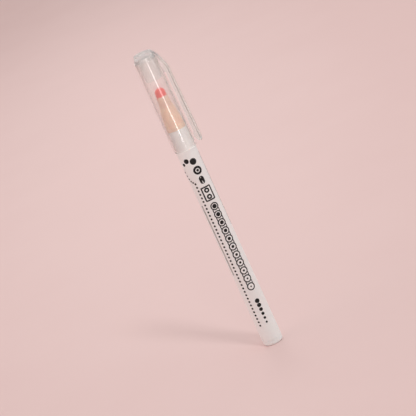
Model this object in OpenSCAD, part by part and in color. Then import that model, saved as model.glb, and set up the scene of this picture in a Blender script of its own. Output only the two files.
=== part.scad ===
// Dot marker pen: a plastic barrel with a fibre ink reservoir, a soft round nib in a
// tapered nose, and a clear two-piece cap with a pocket clip.
// Frame: the pen stands on its tail plug. The axis is Z, the tail face lies on z = 0,
// and the clip is on the +X side. Millimetres.

/* [Overall] */
// Length with the cap on
pen_length = 140; // [138:1:144]

/* [Barrel] */
// Outer diameter of the barrel
barrel_d = 9.0; // [8.9:0.05:9.2]
// Wall thickness of the barrel
barrel_wall = 0.8; // [0.7:0.05:0.85]
// Height of the shoulder that the cap closes against
shoulder_z = 95.2; // [94:0.2:96]
// Length of the neck inside the cap
neck_h = 9.5; // [9:0.1:10]

/* [Tail plug] */
// Height of the plug's visible head
tail_head_h = 2.2; // [1.8:0.1:3]
// Rounding of the plug's lower edge
tail_round = 0.7; // [0.4:0.1:1]

/* [Nib] */
// Diameter of the soft nib
nib_d = 4.58; // [4.4:0.02:4.6]
// How far the dome stands out of its sleeve
nib_stand = 3.7; // [3:0.1:4.2]
// How far the nib gives when it is pressed
nib_travel = 0.5; // [0.2:0.1:0.5]
// Diameter of the wick behind the nib
wick_d = 2.5; // [2.2:0.1:2.5]

/* [Nose] */
// Height of the nib sleeve's rim above the tail
rim_z = 120.1; // [119.5:0.1:120.5]
// Width of the vent notch in the sleeve's rim
notch_w = 2.6; // [1.6:0.1:3]
// Depth of the vent notch
notch_depth = 1.4; // [0.8:0.1:1.6]

/* [Cap] */
// Outer diameter of the cap at its rim
cap_rim_d = 10.3; // [10.2:0.05:10.6]
// Outer diameter of the cap tube at its top
cap_top_d = 9.8; // [9.7:0.05:9.9]
// Wall thickness of the cap tube
cap_wall = 0.9; // [0.85:0.01:0.9]
// Height of the solid head on the cap tube
head_h = 3.3; // [3:0.1:3.6]
// Depth of the head's plug inside the cap tube
plug_depth = 8.7; // [6:0.1:9]

/* [Clip] */
// Width of the clip
clip_w = 4.2; // [3.6:0.1:4.6]
// Thickness of the clip's strap
strap_t = 1.15; // [1:0.05:1.4]
// Width of the rib under the strap
rib_w = 1.3; // [1:0.1:1.6]
// Reach of the strap's outer face from the axis, at the tip
clip_reach = 8.55; // [8.4:0.05:8.6]

/* [Hidden] */
$fn = 96;

gap = 0.02;          // assembly gap between pieces that are pressed together
slide_gap = 0.05;    // radial clearance of a piece that moves in another
through = 1;         // how far a cutting tool overshoots

// Barrel
barrel_r = barrel_d / 2;
bore_r = barrel_r - barrel_wall;
neck_r = cap_rim_d / 2 - cap_wall - 0.1;
neck_top = shoulder_z + neck_h;
neck_bore_r = 3.45;
neck_bore_z = shoulder_z + 2;
bead_z = shoulder_z + 3.8;
bead_r = neck_r + 0.04;
rib_count = 6;
rib_h = 0.2;
rib_base = 0.6;

// Reservoir
reservoir_z = 9;
reservoir_top = neck_bore_z - 0.2;
fibre_r = bore_r - rib_h - 0.2;
film_t = 0.12;
wick_z = reservoir_top - 7.2;
socket_z = wick_z - nib_travel - 0.3;

// Nose: front section and nib sleeve
section_r = 4.05;
section_top = rim_z - 4.8;
groove_z = neck_top + 2.3;
groove_r = section_r - 0.2;
taper_z = section_top - 5.6;
taper_r = 3.77;
shoulder_taper_z = section_top - 2.2;
shoulder_taper_r = 3.4;
mouth_r = 2.95;
mouth_floor = section_top - 3.3;
mouth_bore_r = 2.5;
spigot_r = neck_bore_r - gap;
spigot_z = reservoir_top + 1;
cavity_r = 2.7;
floor_t = 1.2;
rim_r = 2.54;
sleeve_r = 2.74;
sleeve_collar_h = 0.3;
nib_bore_r = nib_d / 2 + slide_gap;
nib_z = rim_z - 3.9;
nib_floor = nib_z - nib_travel - 0.2;
notch_angle = 192;

// Cap
cap_z = shoulder_z + 0.1;
cap_top = pen_length - head_h;
seal_r = section_r + 0.07;
seal_z = groove_z - 0.6;
plug_r = cap_top_d / 2 - cap_wall - gap;
plug_wall = 0.85;
head_taper = 0.85;
head_round = 0.35;
hollow_h = 1.3;
gusset_count = 4;
gusset_t = 0.7;

// Clip. Its outer line runs off the head as a Bezier curve and on as a straight strap.
hinge_z = 129;
clip_root_r = 3.2;
clip_start = [2.6, pen_length];
clip_bend = [4.8, pen_length];
clip_knee = [7.35, pen_length - 5];
clip_shoulder = [8.1, pen_length - 10];
clip_tip_z = cap_z + 0.5;
strap_end = [clip_reach, clip_tip_z + 2.6];
rib_face = 5.8;
bump_z = clip_tip_z + 3.1;
bump_x = 5.22;

function arc(c, r, from, to, n = 6) =
    [for (i = [0 : n]) let (a = from + (to - from) * i / n) c + r * [cos(a), sin(a)]];
function ellipse_arc(c, rx, rz, from, to, n = 8) =
    [for (i = [0 : n]) let (a = from + (to - from) * i / n) c + [rx * cos(a), rz * sin(a)]];
function cap_r(z) =
    cap_rim_d / 2 + (cap_top_d - cap_rim_d) / 2 * (z - cap_z) / (cap_top - cap_z);
function bezier(p, t) =
    pow(1 - t, 3) * p[0] + 3 * t * pow(1 - t, 2) * p[1]
    + 3 * t * t * (1 - t) * p[2] + pow(t, 3) * p[3];
function bezier_slope(p, t) =
    3 * pow(1 - t, 2) * (p[1] - p[0]) + 6 * t * (1 - t) * (p[2] - p[1])
    + 3 * t * t * (p[3] - p[2]);
function inward(v) = [v[1], -v[0]] / norm(v);

clip_curve = [clip_start, clip_bend, clip_knee, clip_shoulder];
curve_steps = 14;

// The strap's outer line, or a line a depth inside it, from the head to the tip
function strap_line(depth) = concat(
    [for (i = [0 : curve_steps]) let (t = i / curve_steps)
        bezier(clip_curve, t) + depth * inward(bezier_slope(clip_curve, t))],
    [strap_end - [depth, 0]]);

function reversed(list) = [for (i = [len(list) - 1 : -1 : 0]) list[i]];

module lathe(points) {
    rotate_extrude() polygon(points);
}

// A profile drawn in X and Z, as a plate of the given width centred on Y = 0
module plate(width, points) {
    rotate([90, 0, 0]) linear_extrude(width, center = true) polygon(points);
}

module barrel() {
    color("white") {
        difference() {
            lathe(concat(
                [[0, tail_head_h]],
                arc([barrel_r - 0.15, tail_head_h + 0.15], 0.15, -90, 0, 3),
                arc([barrel_r - 0.25, shoulder_z - 0.25], 0.25, 0, 90, 4),
                [[neck_r, shoulder_z]],
                [[neck_r, bead_z - 0.5], [bead_r, bead_z - 0.15],
                 [bead_r, bead_z + 0.15], [neck_r, bead_z + 0.5]],
                arc([neck_r - 0.3, neck_top - 0.3], 0.3, 0, 90, 4),
                [[0, neck_top]]));
            translate([0, 0, tail_head_h - through])
                cylinder(r = bore_r, h = neck_bore_z - tail_head_h + through);
            cylinder(r = neck_bore_r, h = neck_top + through);
        }
        // Fins that hold the reservoir off the wall and leave room for air
        for (i = [0 : rib_count - 1])
            rotate([0, 0, i * 360 / rib_count + 30])
                translate([bore_r - rib_h, -rib_base / 2, reservoir_z + 3])
                    cube([rib_h + barrel_wall / 2, rib_base, neck_bore_z - reservoir_z - 8]);
    }
}

module tail_plug() {
    stem_r = bore_r - gap;
    color("gainsboro") difference() {
        lathe(concat(
            [[0, 0]],
            ellipse_arc([barrel_r - 0.05 - tail_round, tail_round], tail_round, tail_round, -90, 0),
            [[barrel_r - 0.05, tail_head_h - gap], [stem_r, tail_head_h - gap],
             [stem_r, reservoir_z - 0.5], [stem_r - 0.4, reservoir_z], [0, reservoir_z]]));
        // Hollow stem, open towards the reservoir
        translate([0, 0, tail_head_h])
            cylinder(r = stem_r - 0.9, h = reservoir_z);
        // Gate dimple in the middle of the tail face
        translate([0, 0, -through]) cylinder(r = 0.7, h = through + 0.25);
        // Air slots across the stem's end
        for (a = [0, 90])
            rotate([0, 0, a])
                translate([-barrel_d, -0.6, reservoir_z - 1.2])
                    cube([2 * barrel_d, 1.2, 1.2 + through]);
    }
}

module reservoir_fibre() {
    color("lightcoral") difference() {
        lathe([[0, reservoir_z], [fibre_r - 0.3, reservoir_z], [fibre_r, reservoir_z + 0.3],
               [fibre_r, reservoir_top - 0.3], [fibre_r - 0.3, reservoir_top],
               [0, reservoir_top]]);
        translate([0, 0, socket_z])
            cylinder(d = wick_d + 2 * slide_gap, h = reservoir_top);
    }
}

module reservoir_film() {
    color("whitesmoke") difference() {
        translate([0, 0, reservoir_z])
            cylinder(r = fibre_r + gap + film_t, h = reservoir_top - reservoir_z);
        cylinder(r = fibre_r + gap, h = pen_length);
    }
}

module front_section() {
    color("peachpuff") difference() {
        lathe([
            [0, spigot_z], [spigot_r - 0.3, spigot_z], [spigot_r, spigot_z + 0.5],
            [spigot_r, neck_top], [section_r - 0.15, neck_top], [section_r, neck_top + 0.15],
            [section_r - 0.02, groove_z - 0.2], [groove_r, groove_z - 0.05],
            [groove_r, groove_z + 0.05], [section_r - 0.12, groove_z + 0.2],
            [taper_r, taper_z], [shoulder_taper_r, shoulder_taper_z],
            [mouth_r, section_top - 0.12], [mouth_r - 0.12, section_top], [0, section_top]]);
        // Mouth that takes the nib sleeve
        translate([0, 0, mouth_floor]) cylinder(r = mouth_bore_r, h = 2 * (section_top - mouth_floor));
        // Passage for the wick
        cylinder(d = wick_d + 0.4, h = pen_length);
        // Hollow behind the floor
        translate([0, 0, spigot_z - through])
            cylinder(r = cavity_r, h = mouth_floor - floor_t - spigot_z + through);
    }
}

module nib_sleeve() {
    color("lightsalmon") difference() {
        lathe([
            [0, mouth_floor + gap], [mouth_bore_r - 0.3, mouth_floor + gap],
            [mouth_bore_r - gap, mouth_floor + 0.4], [mouth_bore_r - gap, section_top + gap],
            [mouth_r - 0.06, section_top + gap], [mouth_r - 0.06, section_top + 0.1],
            [sleeve_r, section_top + sleeve_collar_h],
            [rim_r, rim_z - 0.1], [rim_r - 0.08, rim_z], [0, rim_z]]);
        translate([0, 0, nib_floor]) cylinder(r = nib_bore_r, h = rim_z - nib_floor + through);
        cylinder(d = wick_d + 0.2, h = pen_length);
        // Vent notch, where air comes back in as the ink goes out
        rotate([0, 0, notch_angle]) translate([nib_bore_r - 0.6, 0, rim_z])
            rotate([90, 0, 90]) linear_extrude(2)
                polygon([[0, -notch_depth], [notch_w / 2, 0], [notch_w / 2, through],
                         [-notch_w / 2, through], [-notch_w / 2, 0]]);
    }
}

module nib_tip() {
    nib_r = nib_d / 2;
    color("indianred") difference() {
        lathe(concat(
            [[0, nib_z], [nib_r - 0.4, nib_z], [nib_r, nib_z + 0.4]],
            arc([0, rim_z + nib_stand - nib_r], nib_r, 0, 90, 16)));
        translate([0, 0, nib_z - through])
            cylinder(d = wick_d + gap, h = rim_z - 0.6 - nib_z + through);
    }
}

module nib_wick() {
    wick_top = rim_z - 0.6 - gap;
    color("salmon") lathe([
        [0, wick_z], [wick_d / 2 - 0.4, wick_z], [wick_d / 2, wick_z + 0.8],
        [wick_d / 2, wick_top - 0.2], [wick_d / 2 - 0.2, wick_top], [0, wick_top]]);
}

module cap_tube() {
    color([0.9, 0.88, 0.87, 0.4]) lathe(concat(
        arc([cap_rim_d / 2 - 0.25, cap_z + 0.25], 0.25, -90, 0, 4),
        [[cap_top_d / 2, cap_top - 0.15], [cap_top_d / 2 - 0.1, cap_top - gap],
         [cap_top_d / 2 - cap_wall, cap_top - gap],
         [cap_r(seal_z + 1) - cap_wall, seal_z + 1],
         [seal_r, seal_z + 0.6], [seal_r, seal_z + 0.3],
         [cap_r(seal_z) - cap_wall, seal_z],
         [cap_rim_d / 2 - cap_wall, cap_z + 0.6],
         [cap_rim_d / 2 - cap_wall + 0.2, cap_z]]));
}

// The strap and the rib under it, from the head to the tip
module clip_form() {
    intersection() {
        union() {
            plate(clip_w, concat(strap_line(0), reversed(strap_line(strap_t))));
            plate(rib_w, concat(
                strap_line(strap_t / 2),
                [[strap_end[0] - strap_t, clip_tip_z], [rib_face + 0.9, clip_tip_z],
                 [bump_x + 0.25, bump_z - 0.7], [bump_x, bump_z],
                 [bump_x + 0.15, bump_z + 0.6], [rib_face + 0.25, bump_z + 1.8],
                 [rib_face, hinge_z], [clip_start[0], hinge_z]]));
            // Rounded end of the strap
            plate(clip_w, concat(
                [strap_end - [strap_t, 0]],
                ellipse_arc(strap_end - [strap_t, 0], strap_t, strap_end[1] - clip_tip_z, 0, -90)));
        }
        // Round end, seen from the front
        rotate([90, 0, 90]) linear_extrude(2 * clip_reach) union() {
            translate([0, clip_tip_z + clip_w / 2]) circle(d = clip_w);
            translate([-clip_w / 2, clip_tip_z + clip_w / 2])
                square([clip_w, pen_length - clip_tip_z]);
        }
    }
}

module cap_head() {
    head_r = cap_top_d / 2;
    color([0.9, 0.88, 0.87, 0.4]) {
        difference() {
            lathe(concat(
                [[0, cap_top - plug_depth], [plug_r - 0.35, cap_top - plug_depth],
                 [plug_r - 0.05, cap_top - plug_depth + 0.6], [plug_r, cap_top],
                 [head_r, cap_top], [head_r, cap_top + 0.3]],
                arc([head_r - head_taper - head_round, pen_length - head_round], head_round, 15, 90),
                [[0, pen_length]]));
            translate([0, 0, cap_top - plug_depth - through])
                cylinder(r = plug_r - plug_wall, h = plug_depth + through + hollow_h);
        }
        // Gussets in the hollow of the plug, close under the head
        for (i = [0 : gusset_count - 1])
            rotate([0, 0, 45 + i * 360 / gusset_count])
                translate([plug_r - plug_wall - 0.9, -gusset_t / 2, cap_top - 2.2])
                    cube([1.2, gusset_t, 4]);
        difference() {
            clip_form();
            // The strap's start is inside the head, and the arm below the hinge is separate
            translate([0, 0, cap_z]) cylinder(r = head_r + 0.1, h = cap_top - cap_z);
            translate([0, 0, cap_top]) cylinder(r = clip_root_r, h = head_h - 0.9);
            translate([0, -clip_w, 0]) cube([3 * clip_w, 2 * clip_w, hinge_z]);
        }
    }
}

module clip_arm() {
    color([0.9, 0.88, 0.87, 0.4]) intersection() {
        clip_form();
        translate([0, -clip_w, 0]) cube([3 * clip_w, 2 * clip_w, hinge_z - gap]);
    }
}

barrel();
tail_plug();
reservoir_fibre();
reservoir_film();
front_section();
nib_sleeve();
nib_tip();
nib_wick();
cap_tube();
cap_head();
clip_arm();
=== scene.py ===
import math

import bmesh
import bpy
from mathutils import Matrix, Quaternion, Vector, noise


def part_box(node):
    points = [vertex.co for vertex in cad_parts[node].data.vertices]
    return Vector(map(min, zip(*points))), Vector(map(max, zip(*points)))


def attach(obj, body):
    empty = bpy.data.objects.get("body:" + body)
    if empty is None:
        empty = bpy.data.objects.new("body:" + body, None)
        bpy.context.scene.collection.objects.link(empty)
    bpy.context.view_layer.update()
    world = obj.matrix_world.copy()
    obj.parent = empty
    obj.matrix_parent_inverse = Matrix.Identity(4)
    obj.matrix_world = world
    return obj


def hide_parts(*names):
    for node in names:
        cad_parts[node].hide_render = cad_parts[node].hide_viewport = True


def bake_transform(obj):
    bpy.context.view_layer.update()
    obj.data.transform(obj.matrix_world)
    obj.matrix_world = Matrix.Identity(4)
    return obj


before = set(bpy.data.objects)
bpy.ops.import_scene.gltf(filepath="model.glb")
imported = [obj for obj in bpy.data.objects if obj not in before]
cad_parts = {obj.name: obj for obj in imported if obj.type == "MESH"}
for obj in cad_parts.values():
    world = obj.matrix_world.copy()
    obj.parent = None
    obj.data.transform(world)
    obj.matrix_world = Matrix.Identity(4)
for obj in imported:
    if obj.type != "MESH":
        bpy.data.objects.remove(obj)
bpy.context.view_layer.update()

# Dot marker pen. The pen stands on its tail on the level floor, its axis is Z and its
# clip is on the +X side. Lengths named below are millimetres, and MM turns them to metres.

MM = 0.001
VIEW_ANGLE = math.radians(-90)  # the side of the pen that faces the camera


def top_of(node):
    """Height of a CAD node's highest point, in millimetres."""
    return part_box(node)[1].z / MM


def foot_of(node):
    """Height of a CAD node's lowest point, in millimetres."""
    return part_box(node)[0].z / MM


def radius_of(node):
    """Largest radius of a CAD node about the pen's axis, in millimetres."""
    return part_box(node)[1].y / MM


FIT = 0.02  # assembly gap between pieces that are pressed together, in millimetres
PEN_TOP = top_of("cap_head")
BARREL_R = radius_of("barrel")
NECK_TOP = top_of("barrel")
CAP_FOOT = foot_of("cap_tube")
CAP_SEAM = top_of("cap_tube")
CAP_RIM_R = radius_of("cap_tube")
CAP_TOP_R = radius_of("cap_head")
RIM_Z = top_of("nib_sleeve")
SECTION_TOP = top_of("front_section")
SHOULDER = CAP_FOOT - 0.1
CAP_WALL = 0.9


# Camera -------------------------------------------------------------------------------

MIDDLE = Vector((0, 0, PEN_TOP / 2 * MM))  # the pen's middle, in metres
CAMERA_DISTANCE = 0.8  # metres
CAMERA_ELEVATION = math.radians(16)
CAMERA_ROLL = math.radians(-24.6)  # the pen leans to the left in the picture
CAMERA_LENS = 162.6
SLIDE_RIGHT, SLIDE_UP = -0.6 * MM, -3.15 * MM  # places the pen a little above the centre

camera = bpy.data.objects.new("camera", bpy.data.cameras.new("camera"))
bpy.context.scene.collection.objects.link(camera)
bpy.context.scene.camera = camera
camera.data.lens = CAMERA_LENS
camera.data.sensor_width = 36
camera.data.clip_start = 0.01
back = Vector((0, -math.cos(CAMERA_ELEVATION), math.sin(CAMERA_ELEVATION)))
turn = (-back).to_track_quat("-Z", "Y") @ Quaternion((0, 0, 1), CAMERA_ROLL)
camera.rotation_mode = "QUATERNION"
camera.rotation_quaternion = turn
camera.location = MIDDLE + back * CAMERA_DISTANCE + turn @ Vector((SLIDE_RIGHT, SLIDE_UP, 0))


# Meshes -------------------------------------------------------------------------------

TRUE_FACES = "true_faces"


def smooth(obj, sharp_above=35):
    """Smooth shading that keeps the large faces true beside their small fillets, with edges
    left crisp where faces turn by more than an angle, in degrees."""
    obj.data.shade_smooth()
    obj.data.set_sharp_from_angle(angle=math.radians(sharp_above))
    if TRUE_FACES not in obj.modifiers:
        obj.modifiers.new(TRUE_FACES, "WEIGHTED_NORMAL").keep_sharp = True
    return obj


def mesh_object(name, points, faces):
    """A mesh object from points in millimetres."""
    mesh = bpy.data.meshes.new(name)
    mesh.from_pydata([tuple(c * MM for c in p) for p in points], [], faces)
    mesh.update()
    obj = bpy.data.objects.new(name, mesh)
    bpy.context.scene.collection.objects.link(obj)
    return obj


def outward(obj):
    """Turns every face's normal outwards."""
    data = bmesh.new()
    data.from_mesh(obj.data)
    bmesh.ops.recalc_face_normals(data, faces=data.faces)
    data.to_mesh(obj.data)
    data.free()
    return obj


def arc(start, turn, steps):
    """Angles, in radians, from start through turn, both in degrees, in equal steps."""
    return [math.radians(start + turn * k / steps) for k in range(steps + 1)]


def outline(corners, steps=5):
    """Points along a path of corners (x, z) or (x, z, fillet), with each fillet as an arc."""
    path = [Vector(c[:2]) for c in corners]
    fillets = [c[2] if len(c) > 2 else 0 for c in corners]
    points = []
    for i, (corner, fillet) in enumerate(zip(path, fillets)):
        if not fillet:
            points.append(corner)
            continue
        before = path[i - 1] - corner
        after = path[(i + 1) % len(path)] - corner
        half = before.angle(after) / 2
        reach = min(fillet / math.tan(half), before.length * 0.5, after.length * 0.5)
        radius = reach * math.tan(half)
        start = corner + before.normalized() * reach
        end = corner + after.normalized() * reach
        middle = corner + (before.normalized() + after.normalized()).normalized() * (
            radius / math.sin(half))
        bend = (start - middle).angle_signed(end - middle)
        for k in range(steps + 1):
            points.append(middle + Matrix.Rotation(-bend * k / steps, 2) @ (start - middle))
    return points


def lathe(name, corners, segments=160, steps=5, shape=None):
    """A solid of revolution about Z from a closed outline of (radius, z, fillet) corners,
    whose first and last corners may lie on the axis. shape(angle, radius, z) may move a
    point to a new (radius, z)."""
    profile = outline(corners, steps)
    points, rings = [], []
    for r, z in profile:
        if r < 1e-6:
            rings.append([len(points)] * segments)
            points.append((0, 0, z))
            continue
        rings.append(range(len(points), len(points) + segments))
        for k in range(segments):
            a = 2 * math.pi * k / segments
            rr, zz = shape(a, r, z) if shape else (r, z)
            points.append((rr * math.cos(a), rr * math.sin(a), zz))
    faces = []
    for low, high in zip(rings, [*rings[1:], rings[0]]):
        for k in range(segments):
            n = (k + 1) % segments
            face = [low[k], low[n], high[n], high[k]]
            face = [v for j, v in enumerate(face) if v not in face[:j]]
            if len(face) > 2:
                faces.append(face)
    return smooth(outward(mesh_object(name, points, faces)))


def sweep(name, sections):
    """A closed solid through sections, each a loop of the same number of points."""
    count = len(sections[0])
    points = [p for loop in sections for p in loop]
    last = len(points) - count
    faces = [list(range(count))[::-1], [last + k for k in range(count)]]
    for a in range(0, last, count):
        b = a + count
        for k in range(count):
            n = (k + 1) % count
            faces.append([a + k, a + n, b + n, b + k])
    return outward(mesh_object(name, points, faces))


def plate(name, width, profile):
    """A plate with a profile of (x, z) points and a width that is centred on Y = 0."""
    return sweep(name, [[(x, y, z) for x, z in profile] for y in (-width / 2, width / 2)])


def combine(base, operation, *others):
    """Joins the other solids to base, or cuts them from it."""
    for other in others:
        modifier = base.modifiers.new("combine", "BOOLEAN")
        modifier.operation = operation
        modifier.solver = "EXACT"
        modifier.object = other
    graph = bpy.context.evaluated_depsgraph_get()
    mesh = bpy.data.meshes.new_from_object(base.evaluated_get(graph))
    base.modifiers.clear()
    base.data = mesh
    for other in others:
        bpy.data.objects.remove(other)
    return base


# Materials ----------------------------------------------------------------------------

class Finish:
    """A Principled material. Its patterns read the object's own coordinates, in metres."""

    def __init__(self, name, **values):
        self.material = bpy.data.materials.new(name)
        self.material.use_nodes = True
        self.tree = self.material.node_tree
        self.shader = self.tree.nodes["Principled BSDF"]
        for socket, value in values.items():
            self.shader.inputs[socket.replace("_", " ")].default_value = value
        self.place = self.node("ShaderNodeTexCoord").outputs["Object"]

    def node(self, kind, inputs=None, **settings):
        made = self.tree.nodes.new(kind)
        for key, value in settings.items():
            setattr(made, key, value)
        for key, value in (inputs or {}).items():
            if isinstance(value, bpy.types.NodeSocket):
                self.tree.links.new(value, made.inputs[key])
            else:
                made.inputs[key].default_value = value
        return made

    def noise(self, size, stretch=(1, 1, 1), detail=3.0, roughness=0.5):
        """Noise whose features are about size millimetres, longer where stretch is over 1."""
        scale = [1 / (size * MM * s) for s in stretch]
        place = self.node("ShaderNodeMapping", {"Vector": self.place, "Scale": scale})
        return self.node("ShaderNodeTexNoise", {
            "Vector": place.outputs[0], "Scale": 1.0, "Detail": detail,
            "Roughness": roughness}).outputs["Fac"]

    def cells(self, size, stretch=(1, 1, 1)):
        """Distance to the nearest cell centre, in cells of about size millimetres."""
        scale = [1 / (size * MM * s) for s in stretch]
        place = self.node("ShaderNodeMapping", {"Vector": self.place, "Scale": scale})
        return self.node("ShaderNodeTexVoronoi", {
            "Vector": place.outputs[0], "Scale": 1.0}).outputs["Distance"]

    def outward_x(self, start, end, share):
        """0 up to start millimetres along X, towards the clip, and share from end on."""
        x = self.node("ShaderNodeSeparateXYZ", {"Vector": self.place}).outputs["X"]
        return self.span(x, 0, share, start * MM, end * MM)

    def span(self, value, low, high, start=0.3, end=0.7):
        """value mapped from start..end to low..high."""
        return self.node("ShaderNodeMapRange", {
            "Value": value, "From Min": start, "From Max": end,
            "To Min": low, "To Max": high}).outputs[0]

    def ramp(self, value, *stops):
        """A colour ramp through (position, colour) stops."""
        made = self.node("ShaderNodeValToRGB", {"Fac": value})
        elements = made.color_ramp.elements
        while len(elements) < len(stops):
            elements.new(0.5)
        for element, (position, colour) in zip(elements, stops):
            element.position = position
            element.color = (*colour, 1)
        return made.outputs["Color"]

    def colour(self, value):
        self.tree.links.new(value, self.shader.inputs["Base Color"])

    def rough(self, value):
        self.tree.links.new(value, self.shader.inputs["Roughness"])

    def bump(self, *layers):
        """Stacks bumps, each (height, depth in millimetres, strength)."""
        normal = None
        for height, depth, strength in layers:
            inputs = {"Height": height, "Distance": depth * MM, "Strength": strength}
            if normal is not None:
                inputs["Normal"] = normal
            normal = self.node("ShaderNodeBump", inputs).outputs["Normal"]
        self.tree.links.new(normal, self.shader.inputs["Normal"])

    def lets_lamps_through(self, tint):
        """Lamps shine through the glass to what is behind it."""
        output = self.tree.nodes["Material Output"]
        ray = self.node("ShaderNodeLightPath").outputs["Is Shadow Ray"]
        clear = self.node("ShaderNodeBsdfTransparent", {"Color": (*tint, 1)})
        mixed = self.node("ShaderNodeMixShader", {0: ray})
        self.tree.links.new(self.shader.outputs[0], mixed.inputs[1])
        self.tree.links.new(clear.outputs[0], mixed.inputs[2])
        self.tree.links.new(mixed.outputs[0], output.inputs["Surface"])

    def on(self, *objects):
        for obj in objects:
            obj.data.materials.clear()
            obj.data.materials.append(self.material)


def satin_white(name, base, shade):
    """Satin polypropylene: faint orange peel, fine lines along the pen and a few rubbed patches."""
    made = Finish(name, Subsurface_Weight=0.12, Subsurface_Radius=(1.0, 0.8, 0.7),
                  Subsurface_Scale=1.2 * MM, Specular_IOR_Level=0.3)
    patches = made.noise(9, stretch=(1, 1, 3))
    made.colour(made.ramp(patches, (0.35, shade), (0.65, base)))
    made.rough(made.span(made.noise(2.5, stretch=(1, 1, 4)), 0.36, 0.5))
    made.bump((made.noise(0.35, detail=1.0), 0.004, 0.5),
              (made.noise(0.12, stretch=(1, 1, 60)), 0.003, 0.4))
    return made


def printed_ink():
    """Black pad-printing ink, a little thin and dull in places."""
    made = Finish("printed_ink", Specular_IOR_Level=0.25)
    wear = made.noise(0.25, detail=4.0, roughness=0.65)
    made.colour(made.ramp(wear, (0.3, (0.020, 0.0195, 0.019)), (0.72, (0.008, 0.008, 0.008))))
    made.rough(made.span(made.noise(0.6), 0.38, 0.6))
    made.bump((wear, 0.004, 0.5))
    return made


def peach_plastic(name, base, shade):
    """Milky peach polypropylene over the inked wick: cloudy, and darker in slow swirls."""
    made = Finish(name, Subsurface_Weight=0.45, Subsurface_Radius=(1.6, 0.9, 0.6),
                  Subsurface_Scale=1.0 * MM, Specular_IOR_Level=0.15)
    swirl = made.noise(2.2, stretch=(1, 1, 2.5), detail=4.0)
    made.colour(made.ramp(swirl, (0.36, shade), (0.64, base)))
    made.rough(made.span(made.noise(0.8), 0.36, 0.5))
    made.bump((made.noise(0.3, detail=2.0), 0.004, 0.5))
    return made


def red_felt(name, wet, dry, grain, along=1.0):
    """Fibre soaked with ink: fuzzy, porous, wetter in the pores than on the fibre ends."""
    made = Finish(name, Sheen_Weight=0.35, Sheen_Roughness=0.5, Sheen_Tint=(1, 0.75, 0.7, 1),
                  Subsurface_Weight=0.1, Subsurface_Radius=(0.8, 0.3, 0.25),
                  Subsurface_Scale=0.5 * MM)
    pores = made.cells(grain, stretch=(1, 1, along))
    fluff = made.noise(grain * 1.7, stretch=(1, 1, along), detail=5.0, roughness=0.65)
    made.colour(made.ramp(made.span(fluff, 0, 1), (0.0, wet), (1.0, dry)))
    made.rough(made.span(pores, 0.95, 0.6, 0.0, 0.8))
    made.bump((pores, 0.03, 0.6), (fluff, 0.03, 0.5))
    return made


def clear_plastic(name, tint, shade, haze, milk):
    """Clear polypropylene: faintly cloudy, greyer in the thick clip, with slow waves and fine
    scratches in the surface. haze is its roughness and milk the share that isn't clear."""
    made = Finish(name, Transmission_Weight=1 - milk, IOR=1.49,
                  Coat_Weight=1.0, Coat_Roughness=0.05, Coat_IOR=1.49)
    cloud = made.span(made.noise(5.0, detail=2.0), 0, 0.3)
    clip = made.outward_x(CAP_RIM_R, CAP_RIM_R + 1, 0.7)
    grey = made.node("ShaderNodeMath", {0: cloud, 1: clip}, operation="ADD").outputs[0]
    made.colour(made.ramp(grey, (0.0, tint), (1.0, shade)))
    scratches = made.noise(0.09, stretch=(1, 1, 45), detail=2.0)
    made.rough(made.span(made.noise(3.0), haze * 0.7, haze * 1.5))
    made.bump((made.noise(4.0, stretch=(1, 1, 3), detail=1.0), 0.005, 0.3),
              (scratches, 0.002, 0.2))
    made.lets_lamps_through(tint)
    return made


def soaked_fibre(name, wet, dry):
    """A bundle of fine fibres that run along the pen."""
    made = Finish(name, Sheen_Weight=0.2, Sheen_Roughness=0.5)
    strands = made.noise(0.06, stretch=(1, 1, 120), detail=4.0)
    made.colour(made.ramp(strands, (0.3, wet), (0.7, dry)))
    made.rough(made.span(strands, 0.9, 0.7))
    made.bump((strands, 0.03, 0.8))
    return made


def thin_film(name):
    """Thin wrapped film with shallow wrinkles across it."""
    made = Finish(name, Transmission_Weight=0.3, IOR=1.5)
    wrinkles = made.noise(1.2, stretch=(1, 1, 0.5), detail=4.0)
    made.colour(made.ramp(wrinkles, (0.3, (0.82, 0.74, 0.72)), (0.7, (0.90, 0.84, 0.82))))
    made.rough(made.span(made.noise(0.5), 0.2, 0.4))
    made.bump((wrinkles, 0.05, 0.6))
    return made


# Barrel -------------------------------------------------------------------------------

BORE_R = BARREL_R - 0.8
NECK_R = CAP_RIM_R - CAP_WALL - 0.1
NECK_BORE_R = 3.45
NECK_BORE_Z = SHOULDER + 2
BEAD_R, BEAD_Z = NECK_R + 0.04, SHOULDER + 3.8
TAIL_HEAD = foot_of("barrel")

barrel = lathe("white_barrel", [
    (BORE_R, TAIL_HEAD, 0.05), (BARREL_R, TAIL_HEAD, 0.15),
    (BARREL_R, SHOULDER, 0.25), (NECK_R, SHOULDER, 0.1),
    (NECK_R, BEAD_Z - 0.5), (BEAD_R, BEAD_Z - 0.15),
    (BEAD_R, BEAD_Z + 0.15), (NECK_R, BEAD_Z + 0.5),
    (NECK_R, NECK_TOP, 0.3), (NECK_BORE_R, NECK_TOP, 0.05),
    (NECK_BORE_R, NECK_BORE_Z, 0.1), (BORE_R, NECK_BORE_Z, 0.1)])
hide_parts("barrel")
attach(barrel, "pen")

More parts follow.
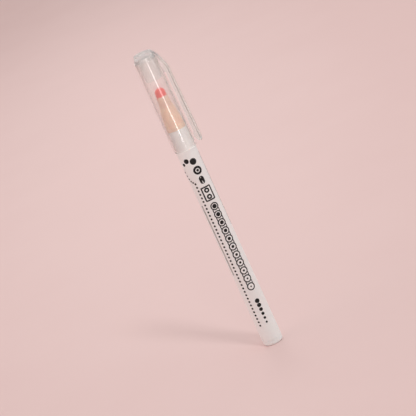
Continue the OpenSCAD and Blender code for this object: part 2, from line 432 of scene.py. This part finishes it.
TAIL_R = BARREL_R - 0.05
STEM_R, STEM_TOP = BORE_R - FIT, top_of("tail_plug")
STEM_BORE_R = STEM_R - 0.9
DIMPLE_R, DIMPLE_DEPTH = 0.7, 0.25
tail_plug = lathe("tail_end_plug", [
    (0, DIMPLE_DEPTH), (DIMPLE_R, DIMPLE_DEPTH, 0.05), (DIMPLE_R, 0, 0.08), (TAIL_R, 0, 0.7),
    (TAIL_R, TAIL_HEAD - FIT, 0.06), (STEM_R, TAIL_HEAD - FIT),
    (STEM_R, STEM_TOP, 0.4), (STEM_BORE_R, STEM_TOP, 0.1),
    (STEM_BORE_R, TAIL_HEAD, 0.3), (0, TAIL_HEAD)])
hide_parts("tail_plug")
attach(tail_plug, "pen")


# Print on the barrel ------------------------------------------------------------------
# Plain discs, rings, bars and rules. A place on the barrel is (u, z): u is the distance
# round the barrel from the line that faces the camera, to the right, and z the height.

INK_TOP = BARREL_R + 0.012
INK_FOOT = BARREL_R - 0.02


class Print:
    """Collects printed shapes, each a thin closed slab that follows the barrel."""

    def __init__(self):
        self.points, self.faces = [], []

    def shape(self, loops, hollow):
        """loops run from the inside out, each with the same number of (u, z) points."""
        start, count = len(self.points), len(loops[0])
        for radius in (INK_TOP, INK_FOOT):
            for loop in loops:
                for u, z in loop:
                    a = VIEW_ANGLE + u / BARREL_R
                    self.points.append((radius * math.cos(a), radius * math.sin(a), z))
        sheet = len(loops) * count
        for i in range(len(loops) - 1):
            for k in range(count):
                n = (k + 1) % count
                quad = [start + i * count + k, start + (i + 1) * count + k,
                        start + (i + 1) * count + n, start + i * count + n]
                self.faces.append(quad)
                self.faces.append([v + sheet for v in quad[::-1]])
        self.wall(start + (len(loops) - 1) * count, count, sheet, False)
        if hollow:
            self.wall(start, count, sheet, True)
        else:
            self.faces.append([start + k for k in range(count)])
            self.faces.append([start + sheet + k for k in range(count)][::-1])

    def wall(self, first, count, sheet, inner):
        for k in range(count):
            n = (k + 1) % count
            quad = [first + k, first + k + sheet, first + n + sheet, first + n]
            self.faces.append(quad[::-1] if inner else quad)

    def disc(self, u, z, size):
        """A ring with a very small middle, which is filled."""
        self.ring(u, z, size, size / 2 - 0.02, hollow=False)

    def ring(self, u, z, size, line, hollow=True):
        count = max(16, round(size * 16))
        steps = max(1, math.ceil(line / 0.45))
        turns = [2 * math.pi * k / count for k in range(count)]
        loops = [[(u + r * math.cos(a), z + r * math.sin(a)) for a in turns]
                 for r in (size / 2 - line + line * i / steps for i in range(steps + 1))]
        self.shape(loops, hollow)

    def frame(self, u, z, width, height, line, corner=0.5, steps=12):
        """A rectangle's outline with round corners."""
        loops = []
        for inset in (line, 0):
            w, h, r = width / 2 - inset, height / 2 - inset, corner - inset
            loop = []
            for cu, cz, turn in ((1, -1, -90), (1, 1, 0), (-1, 1, 90), (-1, -1, 180)):
                for a in arc(turn, 90, 6):
                    loop.append((u + cu * (w - r) + r * math.cos(a),
                                 z + cz * (h - r) + r * math.sin(a)))
                if cu == cz:  # the next side runs across the barrel, so it is cut into steps
                    loop += [(u + cu * (w - r) * (1 - 2 * k / steps), z + cz * h)
                             for k in range(1, steps)]
            loops.append(loop)
        self.shape(loops, True)

    def bar(self, u, z, width, length):
        """A bar along the barrel with round ends."""
        r = width / 2
        loop = []
        for side, turn in ((1, 0), (-1, 180)):
            for a in arc(turn, 180, 8):
                loop.append((u + r * math.cos(a), z + side * (length / 2 - r) + r * math.sin(a)))
        inner = [(u + (p - u) * 0.5, q) for p, q in loop]
        self.shape([inner, loop], False)

    def tick(self, u, z, width, line):
        """A short straight mark across the barrel."""
        across = [width * (k / 4 - 0.5) for k in range(5)]
        loop = [(u + w, z - line / 2) for w in across]
        loop += [(u + w, z + line / 2) for w in across[::-1]]
        inner = [(u + (p - u) * 0.9, z + (q - z) * 0.5) for p, q in loop]
        self.shape([inner, loop], False)

    def made(self, name):
        return mesh_object(name, self.points, self.faces)


ink = Print()

# A row of rings with shrinking discs in them, along the middle of the print
ROW_U, MARK_U = 1.0, 0.8
ROW_FOOT, ROW_TOP, ROW_COUNT = 28.7, 68.1, 11
ROW_STEP = (ROW_TOP - ROW_FOOT) / (ROW_COUNT - 1)
for i in range(ROW_COUNT):
    z = ROW_FOOT + ROW_STEP * i
    ink.ring(ROW_U, z, 3.6, 0.5)
    ink.disc(ROW_U, z, 0.7 + 0.13 * i)
    if i < ROW_COUNT - 1:
        for side in (-1, 1):
            ink.bar(ROW_U + side * 1.35, z + ROW_STEP / 2, 0.4, 1.7)

# A frame with a pair of rings in it, above the row
FRAME_Z = 74.4
ink.frame(MARK_U, FRAME_Z, 4.6, 6.7, 0.6)
for side in (-1, 1):
    ink.ring(MARK_U, FRAME_Z + side * 1.5, 2.3, 0.7)

# A scale of shrinking discs, below the row
for i in range(6):
    ink.disc(MARK_U, 21.6 - 2.1 * i, 2.1 - 0.22 * i)

# A bar, a ring with a disc in it, and discs on a curve that the dotted rule runs into
TARGET_Z = 85.5
ink.bar(MARK_U, 80.9, 2.2, 3.6)
ink.ring(MARK_U, TARGET_Z, 3.8, 0.95)
ink.disc(MARK_U, TARGET_Z, 1.2)
for u, z, size in ((0.6, 89.8, 2.9), (-2.2, 90.8, 2.2), (-4.1, 89.5, 1.4)):
    ink.disc(u, z, size)

# Dotted rule, which bends away to the left at its top
RULE_U, RULE_FOOT, RULE_STEP, RULE_DOTS = -2.67, 10.4, 1.7, 42
for i in range(RULE_DOTS):
    ink.disc(RULE_U, RULE_FOOT + RULE_STEP * i, 0.95)
BEND_DOTS, BEND_U, BEND_HEIGHT = 5, 3.3, 7.0
BEND_FOOT = RULE_FOOT + RULE_STEP * (RULE_DOTS - 1) + 0.6
for a in arc(0, 90, BEND_DOTS + 1)[1:-1]:
    ink.disc(RULE_U - BEND_U * math.sin(a), BEND_FOOT + BEND_HEIGHT * (1 - math.cos(a)), 0.85)

# Fine rules of short ticks towards the edges of the print
TICK_STEP, TICK_W, TICK_LINE = 0.55, 0.9, 0.27
for u, foot, ticks in ((-4.6, 36.0, 62), (6.4, 57.0, 64)):
    for i in range(ticks):
        ink.tick(u, foot + TICK_STEP * i, TICK_W, TICK_LINE)

print_marks = smooth(ink.made("barrel_print"))
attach(print_marks, "pen")


# Nose, nib and wick -------------------------------------------------------------------

SPIGOT_R, SPIGOT_FOOT = NECK_BORE_R - FIT, foot_of("front_section")
SECTION_R = radius_of("front_section")
GROOVE_R, GROOVE_Z = SECTION_R - 0.2, NECK_TOP + 2.3
TAPER_FOOT = (3.77, SECTION_TOP - 5.6, 3.0)
TAPER_TOP = (3.4, SECTION_TOP - 2.2, 2.0)
MOUTH_R, MOUTH_BORE_R, MOUTH_FLOOR = 2.95, 2.5, SECTION_TOP - 3.3
CAVITY_R, CAVITY_TOP = 2.7, MOUTH_FLOOR - 1.2
WICK_R = 1.25
PASSAGE_R = WICK_R + 0.2

front_section = lathe("peach_front_section", [
    (CAVITY_R, SPIGOT_FOOT, 0.1), (SPIGOT_R - 0.3, SPIGOT_FOOT, 0.1),
    (SPIGOT_R, SPIGOT_FOOT + 0.5), (SPIGOT_R, NECK_TOP), (SECTION_R, NECK_TOP, 0.15),
    (SECTION_R - 0.02, GROOVE_Z - 0.2, 0.05), (GROOVE_R, GROOVE_Z - 0.05, 0.05),
    (GROOVE_R, GROOVE_Z + 0.05, 0.05), (SECTION_R - 0.12, GROOVE_Z + 0.2, 0.05),
    TAPER_FOOT, TAPER_TOP, (MOUTH_R, SECTION_TOP, 0.18),
    (MOUTH_BORE_R, SECTION_TOP, 0.08), (MOUTH_BORE_R, MOUTH_FLOOR, 0.1),
    (PASSAGE_R, MOUTH_FLOOR, 0.05), (PASSAGE_R, CAVITY_TOP, 0.05), (CAVITY_R, CAVITY_TOP, 0.3)])
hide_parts("front_section")
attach(front_section, "pen")

NIB_R = radius_of("nib_tip")
NIB_TOP, NIB_FOOT = top_of("nib_tip"), foot_of("nib_tip")
NIB_BORE_R, NIB_FLOOR = NIB_R + 0.05, NIB_FOOT - 0.7
SLEEVE_R = 2.74
COLLAR_R = MOUTH_R - 0.06
SLEEVE_PLUG_R = MOUTH_BORE_R - FIT
WICK_HOLE_R = WICK_R + 0.1
NOTCH_ANGLE = math.radians(192)
NOTCH_W, NOTCH_DEPTH = 2.6, 1.4
NOTCH_HALF = math.asin(NOTCH_W / 2 / NIB_BORE_R)
NOTCH_FOOT = NIB_FLOOR + 1  # the sleeve keeps its shape below this height


def notched(angle, radius, z):
    """Lowers the sleeve's rim into a V at the vent notch."""
    off = abs(math.remainder(angle - NOTCH_ANGLE, 2 * math.pi)) / NOTCH_HALF
    if off >= 1 or z < NOTCH_FOOT:
        return radius, z
    share = (z - NOTCH_FOOT) / (RIM_Z - NOTCH_FOOT)
    return radius, z - NOTCH_DEPTH * (1 - off) * share


nib_sleeve = lathe("peach_nib_sleeve", [
    (WICK_HOLE_R, MOUTH_FLOOR + FIT), (SLEEVE_PLUG_R, MOUTH_FLOOR + FIT, 0.3),
    (SLEEVE_PLUG_R, SECTION_TOP + FIT, 0.02), (COLLAR_R, SECTION_TOP + FIT, 0.04),
    (COLLAR_R, SECTION_TOP + 0.12, 0.04), (SLEEVE_R, SECTION_TOP + 0.35, 0.1),
    (SLEEVE_R - 0.08, SECTION_TOP + 2.0), (SLEEVE_R - 0.14, SECTION_TOP + 3.4),
    (SLEEVE_R - 0.2, RIM_Z, 0.09), (NIB_BORE_R, RIM_Z, 0.05),
    (NIB_BORE_R, NIB_FLOOR, 0.1), (WICK_HOLE_R, NIB_FLOOR, 0.05)],
    segments=240, shape=notched)
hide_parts("nib_sleeve")
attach(nib_sleeve, "pen")

# The nib, with its socket for the wick. Its surface is close-meshed, then roughened like felt.
SOCKET_R, SOCKET_TOP = WICK_R + 0.01, top_of("nib_wick") + FIT
WALL_FOOT, DOME_FOOT = NIB_FOOT + 0.4, NIB_TOP - NIB_R
WALL_STEPS, DOME_STEPS = 30, 24
nib_wall = [(NIB_R, WALL_FOOT + (DOME_FOOT - WALL_FOOT) * k / WALL_STEPS)
            for k in range(WALL_STEPS + 1)]
nib_dome = [(NIB_R * math.cos(a), DOME_FOOT + NIB_R * math.sin(a))
            for a in arc(0, 90, DOME_STEPS)[1:]]
nib_tip = lathe("red_felt_nib", [
    (SOCKET_R, NIB_FOOT, 0.05), (NIB_R - 0.4, NIB_FOOT, 0.1),
    *nib_wall, *nib_dome, (0, SOCKET_TOP), (SOCKET_R, SOCKET_TOP)], segments=144)
FUZZ = 0.035
for vertex in nib_tip.data.vertices:
    place = vertex.co / MM
    if place.xy.length > WICK_HOLE_R or place.z > SOCKET_TOP + 1:
        depth = 0.5 + 0.5 * noise.noise(place * 4.0) + 0.35 * noise.noise(place * 11.0)
        vertex.co -= vertex.normal * FUZZ * MM * max(0.0, depth)
smooth(nib_tip, 60)
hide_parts("nib_tip")
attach(nib_tip, "nib")


# Cap ----------------------------------------------------------------------------------

SEAL_R, SEAL_Z = SECTION_R + 0.07, GROOVE_Z - 0.6


def bore_at(z):
    """Radius of the cap tube's bore at a height."""
    share = (z - CAP_FOOT) / (CAP_SEAM - CAP_FOOT)
    return CAP_RIM_R + (CAP_TOP_R - CAP_RIM_R) * share - CAP_WALL


cap_tube = lathe("clear_cap_tube", [
    (CAP_RIM_R - CAP_WALL + 0.2, CAP_FOOT, 0.05), (CAP_RIM_R, CAP_FOOT, 0.25),
    (CAP_TOP_R, CAP_SEAM, 0.1), (CAP_TOP_R - CAP_WALL, CAP_SEAM, 0.05),
    (bore_at(SEAL_Z + 1), SEAL_Z + 1), (SEAL_R, SEAL_Z + 0.6, 0.1),
    (SEAL_R, SEAL_Z + 0.3, 0.1), (bore_at(SEAL_Z), SEAL_Z),
    (bore_at(CAP_FOOT + 0.6), CAP_FOOT + 0.6)], segments=256)
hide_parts("cap_tube")
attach(cap_tube, "cap")

PLUG_R, PLUG_FOOT = CAP_TOP_R - CAP_WALL - FIT, foot_of("cap_head")
HOLLOW_R, HOLLOW_TOP = PLUG_R - 0.85, CAP_SEAM + 1.3
HEAD_TOP_R = CAP_TOP_R - 0.94
HEAD_SEGMENTS = 192
head = lathe("clear_cap_head_and_clip", [
    (HOLLOW_R, PLUG_FOOT, 0.1), (PLUG_R - 0.3, PLUG_FOOT, 0.1),
    (PLUG_R - 0.05, PLUG_FOOT + 0.6, 0.2), (PLUG_R, CAP_SEAM, 0.05),
    (CAP_TOP_R, CAP_SEAM, 0.06), (CAP_TOP_R, CAP_SEAM + 0.3, 1.0),
    (HEAD_TOP_R, PEN_TOP, 0.4), (0, PEN_TOP), (0, HOLLOW_TOP),
    (HOLLOW_R, HOLLOW_TOP, 0.4)], segments=HEAD_SEGMENTS)


# Clip, moulded on the head ------------------------------------------------------------
# The strap's line is drawn in (x, z), so the y of a place on it is a height.

CLIP_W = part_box("clip_arm")[1].y * 2 / MM
CLIP_TIP = foot_of("clip_arm")
CLIP_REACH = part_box("clip_arm")[1].x / MM
HINGE_Z = top_of("clip_arm") + FIT  # the clip bends below this height
STRAP_T, RIB_W = 1.15, 1.3
EDGE_ROUND, CROWN = 0.5, 0.1
CLIP_START = PEN_TOP - 0.02  # just under the head's flat top
CLIP_CURVE = [Vector((2.6, CLIP_START)), Vector((4.8, CLIP_START)),
              Vector((7.35, PEN_TOP - 5)), Vector((8.1, PEN_TOP - 10))]
STRAP_END = Vector((CLIP_REACH, CLIP_TIP + 2.6))
RIB_FACE, BUMP_X, BUMP_Z = 5.8, 5.22, CLIP_TIP + 3.1


def on_curve(t):
    a, b, c, d = CLIP_CURVE
    return a * (1 - t) ** 3 + b * 3 * t * (1 - t) ** 2 + c * 3 * t * t * (1 - t) + d * t ** 3


def clip_line(curve_steps=20, arm_steps=24):
    """(place on the strap's outer face, unit vector into the strap) from head to tip."""
    places = [on_curve(k / curve_steps) for k in range(curve_steps + 1)]
    places += [places[-1].lerp(STRAP_END, k / arm_steps) for k in range(1, arm_steps + 1)]
    line = []
    for k, place in enumerate(places):
        along = places[min(k + 1, len(places) - 1)] - places[max(k - 1, 0)]
        along.normalize()
        line.append((place, Vector((along.y, -along.x))))
    return line


def strap_section(place, inward, half_width, thickness, corner):
    """A rounded rectangle across the strap, crowned a little on its outer face."""
    loop = []
    corner = min(corner, thickness * 0.45, half_width * 0.45)
    for side, depth, turn in ((1, corner, -90), (1, thickness - corner, 0),
                              (-1, thickness - corner, 90), (-1, corner, 180)):
        for a in arc(turn, 90, 4):
            across = side * (half_width - corner) + corner * math.cos(a)
            into = depth + corner * math.sin(a)
            crown = CROWN * (across / half_width) ** 2 * (1 - into / thickness)
            point = place + inward * (into + crown)
            loop.append((point.x, across, point.y))
    return loop


sections = [strap_section(p, n, CLIP_W / 2, STRAP_T, EDGE_ROUND) for p, n in clip_line()]
END_STEPS = 12
for turn in arc(0, 90, END_STEPS)[1:-1]:
    z = STRAP_END.y - (STRAP_END.y - CLIP_TIP) * math.sin(turn)
    rounding = max(0.0, 1 - (z - CLIP_TIP) / (CLIP_W / 2))
    half_width = CLIP_W / 2 * math.sqrt(max(0.02, 1 - rounding ** 2))
    outer = STRAP_T * (1 - math.cos(turn))
    sections.append(strap_section(Vector((STRAP_END.x - outer, z)), Vector((-1, 0)),
                                  half_width, STRAP_T - outer, EDGE_ROUND))
strap = sweep("strap", sections)

# The rib runs from inside the strap to the bump that faces the cap's rim
rib = plate("rib", RIB_W, outline([
    *[p + n * STRAP_T / 2 for p, n in clip_line()[1:]],
    (STRAP_END.x - STRAP_T * 0.8, CLIP_TIP + 0.5, 0.2), (RIB_FACE + 0.9, CLIP_TIP + 0.25, 0.4),
    (BUMP_X, BUMP_Z - 0.2, 0.9), (RIB_FACE + 0.22, BUMP_Z + 1.6, 1.5),
    (RIB_FACE, HINGE_Z, 0.35), (CLIP_CURVE[0].x, HINGE_Z)]))


def cutter(name, radius, low, high):
    """A cylinder about the pen's axis."""
    return lathe(name, [(0, low), (radius, low), (radius, high), (0, high)],
                 segments=HEAD_SEGMENTS)


# The rib keeps clear of the cap tube by a thin gap, and of the hollow in the plug
AIR = 0.1
MID_PLUG_R = PLUG_R - 0.4
air_gap = cutter("air_gap", CAP_TOP_R + AIR, HINGE_Z - 10, CAP_SEAM + AIR)
hollow = cutter("hollow", MID_PLUG_R, CAP_SEAM - 1, HOLLOW_TOP + 0.4)
clip = combine(combine(strap, "UNION", rib), "DIFFERENCE", air_gap, hollow)

GUSSETS, GUSSET_T = 4, 0.7
GUSSET_R, GUSSET_FOOT, GUSSET_TOP = HOLLOW_R - 0.9, CAP_SEAM - 2.2, HOLLOW_TOP + 0.3
gussets = []
for k in range(GUSSETS):
    gusset = plate("gusset", GUSSET_T, [(GUSSET_R, GUSSET_FOOT), (MID_PLUG_R, GUSSET_FOOT),
                                        (MID_PLUG_R, GUSSET_TOP), (GUSSET_R, GUSSET_TOP)])
    gusset.data.transform(Matrix.Rotation(math.radians(45 + 360 / GUSSETS * k), 4, "Z"))
    gussets.append(gusset)
combine(head, "UNION", clip, *gussets)
smooth(outward(head))
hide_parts("cap_head", "clip_arm")
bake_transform(head)


# Finishes -----------------------------------------------------------------------------

satin_white("barrel_white", (0.885, 0.885, 0.87), (0.86, 0.85, 0.835)).on(barrel)
satin_white("tail_plug_white", (0.87, 0.865, 0.85), (0.84, 0.83, 0.815)).on(tail_plug)
printed_ink().on(print_marks)
peach_plastic("peach_front", (0.91, 0.65, 0.495), (0.85, 0.575, 0.43)).on(front_section)
peach_plastic("peach_sleeve", (0.89, 0.575, 0.455), (0.83, 0.505, 0.395)).on(nib_sleeve)
red_felt("red_nib", (0.81, 0.040, 0.028), (0.92, 0.075, 0.052), 0.14).on(nib_tip)
red_felt("red_wick", (0.55, 0.05, 0.04), (0.70, 0.13, 0.10), 0.08, along=30).on(
    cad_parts["nib_wick"])
soaked_fibre("red_fibre", (0.55, 0.07, 0.06), (0.80, 0.30, 0.26)).on(
    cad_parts["reservoir_fibre"])
thin_film("wrap_film").on(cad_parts["reservoir_film"])
clear_plastic("clear_cap", (0.995, 0.98, 0.97), (0.97, 0.955, 0.945), 0.07, 0.08).on(cap_tube)
clear_plastic("clear_head", (0.965, 0.955, 0.95), (0.86, 0.90, 0.87), 0.13, 0.16).on(head)


# Floor and light ----------------------------------------------------------------------

FLOOR_HALF = 4000
floor = mesh_object("floor", [(x * FLOOR_HALF, y * FLOOR_HALF, 0) for x, y in
                              ((-1, -1), (1, -1), (1, 1), (-1, 1))], [(0, 1, 2, 3)])
paper = Finish("pink_paper", Specular_IOR_Level=0.2)
PAINTED_GLOW_SPOT = Vector((-0.02, 0.5, 0))  # centre of the pool of light painted into the floor's colour, in metres
PAINTED_GLOW_REACH = Vector((0.2, 1.2, 1))
offset = paper.node("ShaderNodeVectorMath", {0: paper.place, 1: PAINTED_GLOW_SPOT}, operation="SUBTRACT")
shares = paper.node("ShaderNodeVectorMath", {0: offset.outputs[0], 1: PAINTED_GLOW_REACH},
                    operation="DIVIDE")
away = paper.node("ShaderNodeVectorMath", {0: shares.outputs[0]}, operation="LENGTH")
cloud = paper.span(paper.noise(60, detail=4.0), -0.06, 0.06)
away = paper.node("ShaderNodeMath", {0: away.outputs["Value"], 1: cloud}, operation="ADD")
away = paper.span(away.outputs[0], 0, 1, 0, 2)
# Painted light: the floor's colour is palest at the painted pool of light's centre and darker
# further away
paper.colour(paper.ramp(away, (0, (0.875, 0.675, 0.655)), (0.2, (0.84, 0.65, 0.63)),
                        (0.4, (0.80, 0.605, 0.585)), (0.8, (0.77, 0.565, 0.545))))
paper.rough(paper.span(paper.noise(5), 0.85, 0.95))
paper.bump((paper.noise(0.8, detail=3.0), 0.05, 0.3))
paper.on(floor)

# The studio round the pen: pinkish on the left, a cool white to the right and above, and
# dimmer on the camera's side and behind
COOL_SIDE = Vector((0.88, -0.2, 0.43))
CAMERA_SIDE = Vector((0, -1, 0))
world = bpy.data.worlds.new("studio")
bpy.context.scene.world = world
world.use_nodes = True
tree = world.node_tree
direction = tree.nodes.new("ShaderNodeTexCoord").outputs["Generated"]


def towards(side, start, low, high):
    """A value that runs from low to high as the direction turns to a side. It starts where
    the cosine of the angle between them is start."""
    facing = tree.nodes.new("ShaderNodeVectorMath")
    facing.operation = "DOT_PRODUCT"
    facing.inputs[1].default_value = side
    spread = tree.nodes.new("ShaderNodeMapRange")
    spread.inputs["From Min"].default_value = start
    spread.inputs["To Min"].default_value = low
    spread.inputs["To Max"].default_value = high
    tree.links.new(direction, facing.inputs[0])
    tree.links.new(facing.outputs["Value"], spread.inputs["Value"])
    return spread.outputs[0]


ramp = tree.nodes.new("ShaderNodeValToRGB")
ramp.color_ramp.elements[0].color = (0.92, 0.735, 0.70, 1)
ramp.color_ramp.elements[1].color = (0.72, 0.735, 0.73, 1)
sky = tree.nodes["Background"]
tree.links.new(towards(COOL_SIDE, -1, 0, 1), ramp.inputs[0])
tree.links.new(ramp.outputs[0], sky.inputs["Color"])
strength = tree.nodes.new("ShaderNodeMath")
strength.operation = "MULTIPLY"
tree.links.new(towards(CAMERA_SIDE, 0, 1.12, 0.42), strength.inputs[0])
tree.links.new(towards(-CAMERA_SIDE, 0, 1, 0.7), strength.inputs[1])
tree.links.new(strength.outputs[0], sky.inputs["Strength"])


def hang(name, lamp, place, target, glints):
    """Puts a lamp at place, in metres, facing target. It is not seen itself, and only a lamp
    that glints is mirrored in glossy surfaces."""
    obj = bpy.data.objects.new(name, lamp)
    bpy.context.scene.collection.objects.link(obj)
    obj.location = place
    obj.rotation_mode = "QUATERNION"
    obj.rotation_quaternion = (Vector(target) - Vector(place)).to_track_quat("-Z", "Y")
    obj.visible_camera = False
    obj.visible_transmission = False
    obj.visible_glossy = glints


def softbox(name, place, target, width, height, power, colour=(1, 1, 1), glints=False):
    """A rectangular lamp, in metres and watts."""
    lamp = bpy.data.lights.new(name, "AREA")
    lamp.shape = "RECTANGLE"
    lamp.size, lamp.size_y = width, height
    lamp.energy = power
    lamp.color = colour
    hang(name, lamp, place, target, glints)


def glow(name, place, target, angle, power):
    """A soft round pool of light on the floor."""
    lamp = bpy.data.lights.new(name, "SPOT")
    lamp.energy = power
    lamp.spot_size = angle
    lamp.spot_blend = 1.0
    lamp.shadow_soft_size = 0.15
    hang(name, lamp, place, target, False)


softbox("key", (0.56, -0.94, 1.3), MIDDLE, 0.18, 0.18, 4.6, glints=True)
softbox("side", (1.3, -0.7, 0.1), MIDDLE, 0.8, 0.3, 2.0, (0.8, 1.0, 1.0))
softbox("left", (-1.3, -0.35, 0.1), MIDDLE, 0.8, 0.3, 1.7, (1.0, 0.86, 0.83))
softbox("strip", (0.08, -0.605, 0.004), (0.08, -0.605, 1), 0.085, 0.39, 0.7, glints=True)
softbox("catch", (0.1, -0.75, 0.466), MIDDLE, 0.14, 0.06, 0.24, glints=True)
glow("pool", (0, 0.6, 1.5), (0, 0.5, 0), math.radians(52), 12)

bpy.context.scene.view_settings.view_transform = "Standard"
bpy.context.scene.view_settings.look = "None"
